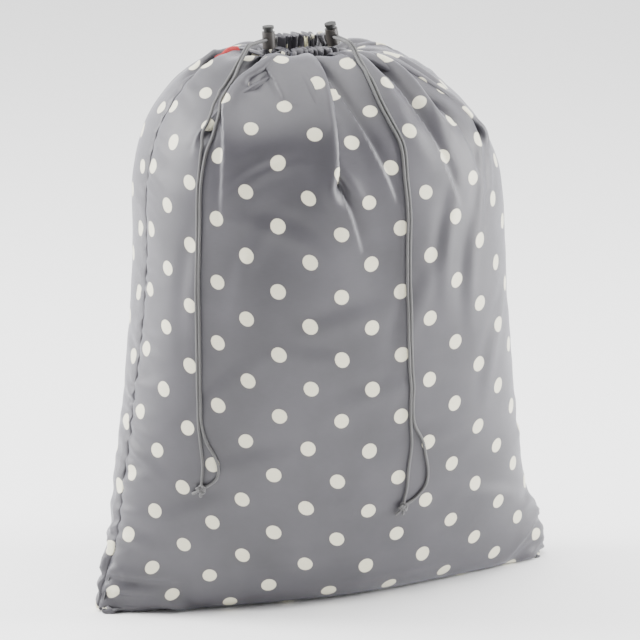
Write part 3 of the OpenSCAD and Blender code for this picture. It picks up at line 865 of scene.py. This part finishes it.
def braid(name, light, painted_groove_shade):
    m = Nodes(name)
    _, u, v = m.flat()
    turns = m.times(v, 12 * math.pi)
    way = m.times(u, 2 * math.pi / PLAIT)
    plait = m.math("MAXIMUM", m.math("SINE", m.plus(way, turns)), m.math("SINE", m.less(way, turns)))
    patches = m.noise(260, 3)
    m.bump(plait, 0.6, 0.0002)
    # Painted shade: the colour goes darker towards the gaps between the braid's strands, while the tops of
    # the strands keep the cord's own colour.
    return m.set(Base__Color=m.mix(m.ramp(plait, -0.5, 0.8), painted_groove_shade, m.worn(patches, light, 0.86)),
                 Roughness=m.fit(patches, 0.15, 0.5), Sheen__Weight=0.15)


def moulded(name, colour, rough):
    m = Nodes(name)
    patches = m.noise(220, 3)
    m.bump(m.noise(2600, 4), 0.25, 0.0001)
    return m.set(Base__Color=m.worn(patches, colour, 0.78), Roughness=m.fit(patches, 0.18, rough),
                 Specular__IOR__Level=0.45)


def ribbon_weave(name, colour, thread, rough=0.55):
    m = Nodes(name)
    where, u, v = m.flat()
    patches = m.noise(90, 3, where)
    m.bump(m.times(m.wave(u, thread), m.wave(v, thread)), 0.5, 0.00015)
    return m.set(Base__Color=m.worn(patches, colour, 0.8), Roughness=m.fit(patches, 0.1, rough),
                 Sheen__Weight=0.2)


def drawn_wire(name):
    m = Nodes(name)
    m.bump(m.noise(1500, 2), 0.2, 0.00005)
    return m.set(Base__Color=m.mix(m.noise(400, 2), (0.62, 0.62, 0.63, 1), (0.5, 0.5, 0.52, 1)), Metallic=1.0,
                 Roughness=0.25)


FRONT_FABRIC = fabric("front_fabric", 0.1722, 0.0370)
BACK_FABRIC = fabric("back_fabric", 0.0100, 0.0500)
# The cord's own colour, then the painted shade for the gaps between the braid's strands.
CORD = braid("cord_braid", (0.120, 0.118, 0.118, 1), (0.028, 0.027, 0.029, 1))
BARREL = moulded("lock_barrel_plastic", (0.040, 0.035, 0.032, 1), 0.34)
PLUNGER = moulded("lock_plunger_plastic", (0.006, 0.006, 0.006, 1), 0.46)
STEEL = drawn_wire("spring_wire")
TAB = ribbon_weave("tab_ribbon", (0.50, 0.004, 0.008, 1), 0.0006)
LABEL = ribbon_weave("label_satin", (0.70, 0.66, 0.40, 1), 0.0004)
BINDING = ribbon_weave("binding_tape", (0.10, 0.10, 0.11, 1), 0.0008)
STITCH = ribbon_weave("stitch_thread", (0.075, 0.074, 0.082, 1), 0.0003, 0.5)

# ---- panels ----

def panel(name, columns, material, node):
    n = len(columns)
    uv = np.stack([np.tile(np.linspace(0, WIDTH, n), ROWS), np.repeat(UP, n)], 1)
    return piece(name, cloth[:, columns].reshape(-1, 3), grid_faces(ROWS, n), material, uv,
                 [node], thick=0.0007)


front = panel("front_cloth", list(range(HALF + 1)), FRONT_FABRIC, "front_panel")
back = panel("back_cloth", list(range(HALF, COLS)) + [0], BACK_FABRIC, "back_panel")

surface = BVHTree.FromPolygons([tuple(p) for p in cloth.reshape(-1, 3)],
                               [tuple(f) for f in grid_faces(ROWS, COLS, wrap=True)])

# ---- gathered casing ----

RIM_COLS = 576
# height, middle and swing of the pleats across the ring: up the outside, over the top and down the inside
BACK_PROFILE = [
    (452.2, 0, 1.0), (454.5, 3.4, 0.72), (457.3, 6.6, 0.42), (460.4, 6.4, 0.42), (463, 3.6, 0.66),
    (466, 1.9, 0.86), (468.8, 1.1, 0.98), (470.3, 0.3, 1.0), (470.0, -0.6, 0.96), (466.6, -1.6, 0.84),
    (463.4, -3.6, 0.6), (460.4, -6.3, 0.38), (457.3, -6.3, 0.38), (454.2, -3.0, 0.7), (451.8, -0.6, 1.0)]
FRONT_PROFILE = [
    (452.2, 0, 1.0), (454.3, 3.4, 0.72), (456.8, 6.5, 0.42), (459.2, 6.0, 0.46), (461.0, 3.2, 0.66),
    (461.9, 0.6, 0.86), (461.2, -2.6, 0.66), (459.2, -6.0, 0.4), (456.8, -6.3, 0.38), (454.2, -3.0, 0.7),
    (451.8, -0.6, 1.0)]


def casing(name, profile, side, material, node):
    """One half of the tunnel: the pleats at the gather carried over the hem, each a little out of line."""
    point, out, wave, reach, fold = pleated_ring(RIM_COLS)
    wobble = np.random.default_rng(23).uniform(-1, 1, (3, len(PLEATS)))
    keep = point[:, 1] * side > 5.5 * MM
    start = int(np.argmax(keep & ~np.roll(keep, 1)))
    order = (start + np.arange(int(keep.sum()))) % RIM_COLS
    along_ring = np.stack([-out[:, 1], out[:, 0]], -1)
    rise = 1.3 * wobble[0][fold] * np.cos(math.pi * wave * 0.5) + 0.9 * wobble[1][fold]
    heights = np.array([p[0] for p in profile])
    lift = np.clip((heights - CORD_Z) / (heights.max() - CORD_Z), 0, 1)
    rows = []
    for (z, middle, swing), up in zip(profile, lift):
        off = (middle * MM + swing * reach * wave)[:, None]
        lean = (up * (1.6 * wobble[2][fold] + 0.9 * np.sin(wave * 2.2)) * MM)[:, None]
        flat = point + out * off + along_ring * lean
        rows.append(np.column_stack([flat, (z + up * rise) * MM])[order])
    rows = np.array(rows)
    n = len(order)
    step = run_flat(heights, [p[1] for p in profile]) * MM
    u = (order * 2 * WIDTH / RIM_COLS) % (2 * WIDTH)
    u = np.where(u < WIDTH, u, u - WIDTH)
    uv = np.stack([np.tile(u, len(profile)), np.repeat(HEIGHT + step, n)], 1)
    return piece(name, rows.reshape(-1, 3), grid_faces(len(profile), n), material, uv,
                 [node], thick=0.0006, soften=1)


casing("front_casing", FRONT_PROFILE, -1, FRONT_FABRIC, "casing_front")
casing("back_casing", BACK_PROFILE, 1, BACK_FABRIC, "casing_back")

# ---- seams: stitches and inner tapes ----

out_of_cloth = normals(cloth)
STITCH_GAP, STITCH_LONG, STITCH_R, STITCH_LIFT = 0.0032, 0.0022, 0.00024, 0.00012


def stitched(name, line, lift):
    """A row of short threads along a line and off it by lift, each rounded at its ends."""
    d, line = run(line), line + lift
    parts = []
    for k in range(int(d[-1] / STITCH_GAP)):
        a, b = (np.array([np.interp(k * STITCH_GAP + e, d, line[:, c]) for c in range(3)])
                for e in (0, STITCH_LONG))
        path = a + (b - a) * np.linspace(0, 1, 5)[:, None]
        parts.append(tube_mesh(path, STITCH_R * np.array([0.5, 0.95, 1, 0.95, 0.5]), 6))
    p, f, m = joined(parts)
    return piece(name, p, f, STITCH, m)


for side, column in (("left", 0), ("right", HALF)):
    stitched(f"{side}_seam_stitches", cloth[3:, column], out_of_cloth[3:, column] * STITCH_LIFT)
stitched("bottom_seam_stitches", cloth[0, :HALF + 1], np.array([0, 0, 0.0004]))


def seam_tape(side, line, inward, across):
    """A folded tape over the turned-in edges of a seam, inside the bag."""
    profile = [(-3.2, 0.2), (-3.0, 1.0), (-1.2, 1.5), (0.0, 1.6), (1.2, 1.5), (3.0, 1.0), (3.2, 0.2)]
    rows = np.array([line + inward * (0.0018 + h * MM * 0.5) + across * (w * MM) for w, h in profile])
    n = len(line)
    uv = np.stack([np.tile(run(line), len(profile)), np.repeat([p[0] * MM for p in profile], n)], 1)
    return piece(f"{side}_seam_tape", rows.reshape(-1, 3), grid_faces(len(profile), n), BINDING, uv,
                 [f"seam_tape_{side}"], thick=0.0005, offset=0.0)


for side, column, sign in (("left", 0, 1.0), ("right", HALF, -1.0)):
    low, high = int(ROWS * 0.05), int(ROWS * 0.86)
    line = cloth[low:high, column].copy()
    for _ in range(4):
        line[1:-1] = (line[:-2] + 2 * line[1:-1] + line[2:]) / 4
    heading = along(line)
    inward = unit(np.cross(np.tile([0.0, 1, 0], (len(line), 1)), heading))
    inward *= np.sign((inward * [sign, 0, 0]).sum(1, keepdims=True))
    seam_tape(side, line, inward, np.cross(heading, inward))
line = cloth[0, 12:HALF - 11].copy()
line[:, 2] = 0.0012
seam_tape("bottom", line, np.tile([0.0, 0, 1], (len(line), 1)), np.tile([0.0, 1, 0], (len(line), 1)))

# ---- tab in the left seam, care label in the mouth ----

seam_line = cloth[:, 0]
tab_low, tab_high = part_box("side_tab")
rows_in = [j for j in range(ROWS // 2, ROWS) if tab_low.x <= seam_line[j, 0] <= tab_high.x]
path = seam_line[rows_in[0]:rows_in[-1] + 1]
tab_out = unit(np.tile([-0.25, 0.10, 1.0], (len(path), 1)))
grid, tab_uv = [], []
# The tab's folded section, mm: how far it stands out of the seam, and its width to each side
ARCH = [(0.0, -0.5), (1.4, -0.62), (2.8, -0.6), (3.7, -0.45), (4.1, 0.0), (3.7, 0.45), (2.8, 0.6),
        (1.4, 0.62), (0.0, 0.5)]
for h, w in ARCH:
    lean = 0.0009 * (h / 4.1) ** 2
    grid.append(path + tab_out * (h * MM - 0.0010) + np.array([0.0, 1, 0]) * (w * MM + lean * 2))
    tab_uv += [(k * 0.003, (h if w < 0 else 9 - h) * MM) for k in range(len(path))]
piece("seam_tab", np.array(grid).reshape(-1, 3), grid_faces(len(ARCH), len(path)), TAB, tab_uv,
      ["side_tab"], thick=0.0004, offset=0.0, soften=2)

LABEL_COLS, LABEL_ROWS, LABEL_WIDE = 15, 22, 0.014
label_low, label_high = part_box("care_label")
points, label_uv = [], []
for j in range(LABEL_ROWS):
    t = j / (LABEL_ROWS - 1)
    z = label_low.z + t * (label_high.z - label_low.z + 0.0035)
    curl = 0.0050 + 0.002 * math.sin(3 * t)
    centre = np.array([-0.0112 + 0.0012 * math.sin(4.0 * t + 0.5), -0.0002 + 0.0012 * math.sin(5 * t), z])
    for i in range(LABEL_COLS):
        w = (i / (LABEL_COLS - 1) - 0.5) * LABEL_WIDE
        a = w / curl * 1.15
        points.append(centre + (0.22 * curl * math.sin(a), 0.62 * curl * (1 - math.cos(a)) - 0.001,
                                0.0009 * math.sin(9 * w / LABEL_WIDE)))
        label_uv.append((w, z))
piece("care_label_strip", points, grid_faces(LABEL_ROWS, LABEL_COLS), LABEL, label_uv,
      ["care_label"], thick=0.00025, offset=0.0, soften=1)

# ---- cords, laid on the settled cloth ----

SIDES, SETTLES = 14, 50    # sides of a cord, and steps in which it settles on the cloth


def laid(route, free, spread):
    """The strand's route in metres, with its hanging part resting on the cloth."""
    fixed = catmull(route[:free], 1.6) * MM
    path = catmull(route[free - 1:], 2.6)[1:] * MM
    ramp = smooth(np.cumsum(np.linalg.norm(np.diff(path, axis=0, prepend=path[:1]), axis=1)) / 0.030)
    apart = np.sin(np.clip(np.linspace(0, 1, len(path)) / 0.34, 0, 1) * math.pi) ** 2
    path = path + spread[None] * apart[:, None]
    for _ in range(SETTLES):
        near = [surface.find_nearest(Vector(p)) for p in path]
        on = np.array([n[0] for n in near])
        out = np.array([n[1] for n in near])
        gap = ((path - on) * out).sum(1)
        middle = path.copy()
        middle[1:-1] = (path[:-2] + path[2:]) / 2
        settle = ((middle - path) * out).sum(1) * 0.8 - 0.00012 * ramp
        settle[0] = settle[-1] = 0
        clear = np.maximum(gap + settle, CORD_R + 0.0001)
        clear[0] = gap[0]
        path = path + out * (clear - gap)[:, None]
    even = path.copy()
    even[1:-1] = (path[:-2] + 2 * path[1:-1] + path[2:]) / 4
    return np.vstack([fixed, even])


def tangent_frame(place):
    """The nearest point of the cloth, its way out, and down and across the cloth there."""
    on, out, _, _ = surface.find_nearest(Vector(place))
    n = np.array(out)
    down = unit(np.array([0.0, 0, -1]) - (np.array([0.0, 0, -1]) @ n) * n)
    return np.array(on), n, down, np.cross(n, down)


KNOT_SIZE = 0.98 * MM


def knot(name, place, swing, node):
    """An overhand knot tied in two strands, with their cut tips."""
    on, n, down, across = tangent_frame(np.array(place) * MM)
    centre = on + n * 0.0036
    c, s = math.cos(swing), math.sin(swing)
    axis, side = down * c + across * s, across * c - down * s
    parts = []
    t = np.linspace(0, 2 * math.pi, 72)
    for k in (-1, 1):
        x, y = (np.sin(t) + 2 * np.sin(2 * t)) * KNOT_SIZE, (np.cos(t) - 2 * np.cos(2 * t)) * KNOT_SIZE
        z = -np.sin(3 * t) * MM
        path = centre + np.outer(x + k * 0.75 * MM, side) + np.outer(z + 0.2 * k * MM, n) + np.outer(y, axis)
        parts.append(tube_mesh(path, CORD_R * 0.93, 12, caps=False))
    for k, length, bow in ((-1, 8.5, -2.0), (1, 7.0, 2.6)):
        tip = np.array([centre + axis * a * MM + side * (k * 1.1 + bow * (a / length) ** 2) * MM
                        + n * (0.2 - 2.0 * (a / length) ** 1.5) * MM for a in np.linspace(0, length, 9)])
        lift = [max(0.0, CORD_R - (Vector(p) - surface.find_nearest(Vector(p))[0]).dot(Vector(n)))
                for p in tip]
        tip += np.outer(lift, n)
        parts.append(tube_mesh(tip, CORD_R * np.array([1, 1, 1, 1, 1, 1, 1, 1.08, 1]), 12))
    p, f, m = joined(parts)
    return piece(name, p, f, CORD, m, [node]), centre


def cord_side(name, lock, loops, ends, hang, knot_place, swing, end, track_r, spreads):
    """One side's cord: its straight and its bowed strand, their knot and the run in the tunnel."""
    knotted, centre = knot(f"{name}_overhand_knot", knot_place, swing, f"{name}_knot")
    for kind, side, end_points, loop, spread in zip(("straight", "bowed"), (-1, 1), ends, loops, spreads):
        route, free = strand_route(lock, side, loop, hang, end_points, centre / MM)
        path = laid(route, free, np.array(spread) * MM)
        p, f, m = tube_mesh(path, CORD_R, SIDES)
        strand = piece(f"{name}_{kind}_strand", p, f, CORD, m, [f"{name}_cord"])
    out = math.degrees(math.asin(SLIT / track_r))
    turns = [out, 65, 89.9, 90.1] + [90 + 30 * k for k in range(1, 6)] + [269.9, 270.1, 295, 360 - out]
    p, f, m = tube_mesh(catmull([track(end, track_r, t) for t in turns], 2.0) * MM, CORD_R, SIDES)
    piece(f"{name}_cord_in_casing", p, f, CORD, m)


cord_side("left", LEFT_LOCK, (LEFT_BACK_LOOP, LEFT_FRONT_LOOP), (LEFT_STRAIGHT, LEFT_BOW), LEFT_HANG,
          LEFT_KNOT, -0.6, -1, RING_R - STRAND_GAP / 2, ((-3.4, -1.2, 0), (3.6, -1.0, 0)))
cord_side("right", RIGHT_LOCK, (RIGHT_FRONT_LOOP, RIGHT_BACK_LOOP), (RIGHT_STRAIGHT, RIGHT_BOW), RIGHT_HANG,
          RIGHT_KNOT, -0.35, 1, RING_R + STRAND_GAP / 2, ((-0.3, 0, 0), (0.3, 0, 0)))

# ---- cord locks ----

for side in ("left", "right"):
    for part, material in (("barrel", BARREL), ("plunger", PLUNGER)):
        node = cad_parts[f"{side}_lock_{part}"]
        node.data.materials.clear()
        node.data.materials.append(material)


# Spring in a lock, from the floor of the bore up to the plunger's foot
COIL_LOW, COIL_HIGH, COIL_R, COIL_TURNS, WIRE_R = -6.6, -2.5, 2.6, 5, 0.22


def coil(side, lock):
    """The wire spring in a barrel, a closed turn at each end."""
    turns = np.linspace(0, COIL_TURNS, COIL_TURNS * 20 + 1)
    climb = (smooth((turns - 0.5) / (COIL_TURNS - 1)) * 0.25
             + np.clip((turns - 0.8) / (COIL_TURNS - 1.6), 0, 1) * 0.75)
    low, high = COIL_LOW + WIRE_R, COIL_HIGH - WIRE_R
    a = 2 * math.pi * turns
    line = np.stack([COIL_R * np.cos(a), COIL_R * np.sin(a), low + (high - low) * climb])
    middle = np.array(lock[0], float)
    p, f, m = tube_mesh((middle + from_lock(lock, line).T) * MM, WIRE_R * MM, 10)
    thing = piece(f"{side}_coil_spring", p, f, STEEL, m, [f"{side}_lock_spring"],
                  body=f"{side}_lock")
    foot = middle + from_lock(lock, (0, 0, COIL_LOW))
    up = from_lock(lock, (0, 0, 1))
    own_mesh(thing)


coil("left", LEFT_LOCK)
coil("right", RIGHT_LOCK)

# ---- floor and light ----

FLOOR = 4.5
floor_mesh = bpy.data.meshes.new("floor")
floor_mesh.from_pydata([(x * FLOOR, y * FLOOR, -0.0002) for x, y in ((-1, -1), (1, -1), (1, 1), (-1, 1))],
                       [], [(0, 1, 2, 3)])
floor = bpy.data.objects.new("floor", floor_mesh)
bpy.context.collection.objects.link(floor)
pale = Nodes("pale_floor")
floor_mesh.materials.append(pale.set(Base__Color=(0.93, 0.93, 0.93, 1), Roughness=0.8))

world = bpy.data.worlds.new("studio")
bpy.context.scene.world = world
world.use_nodes = True
world.node_tree.nodes["Background"].inputs["Color"].default_value = (1, 1, 1, 1)
# A white cove: bright behind and beside the bag, dimmer on the camera's side
tree = world.node_tree
where = tree.nodes.new("ShaderNodeTexCoord")
parts = tree.nodes.new("ShaderNodeSeparateXYZ")
cove = tree.nodes.new("ShaderNodeMapRange")
cove.interpolation_type = "SMOOTHSTEP"
tree.links.new(where.outputs["Generated"], parts.inputs[0])
tree.links.new(parts.outputs[1], cove.inputs[0])
for socket, value in zip(list(cove.inputs)[1:5], (-0.7, 0.6, 0.22, 3.1)):
    socket.default_value = value
tree.links.new(cove.outputs[0], tree.nodes["Background"].inputs["Strength"])


def softbox(name, place, size, power):
    light = bpy.data.lights.new(name, "AREA")
    light.shape, light.size, light.size_y, light.energy = "RECTANGLE", size[0], size[1], power
    thing = bpy.data.objects.new(name, light)
    bpy.context.collection.objects.link(thing)
    thing.location = place
    thing.rotation_euler = (AIM - Vector(place)).to_track_quat("-Z", "Y").to_euler()


softbox("left_softbox", (-2.0, 0.9, 1.3), (0.8, 1.6), 130)
softbox("right_softbox", (2.1, -0.75, 0.8), (0.6, 1.5), 120)
softbox("top_softbox", (-0.1, -0.5, 2.4), (1.2, 0.9), 55)
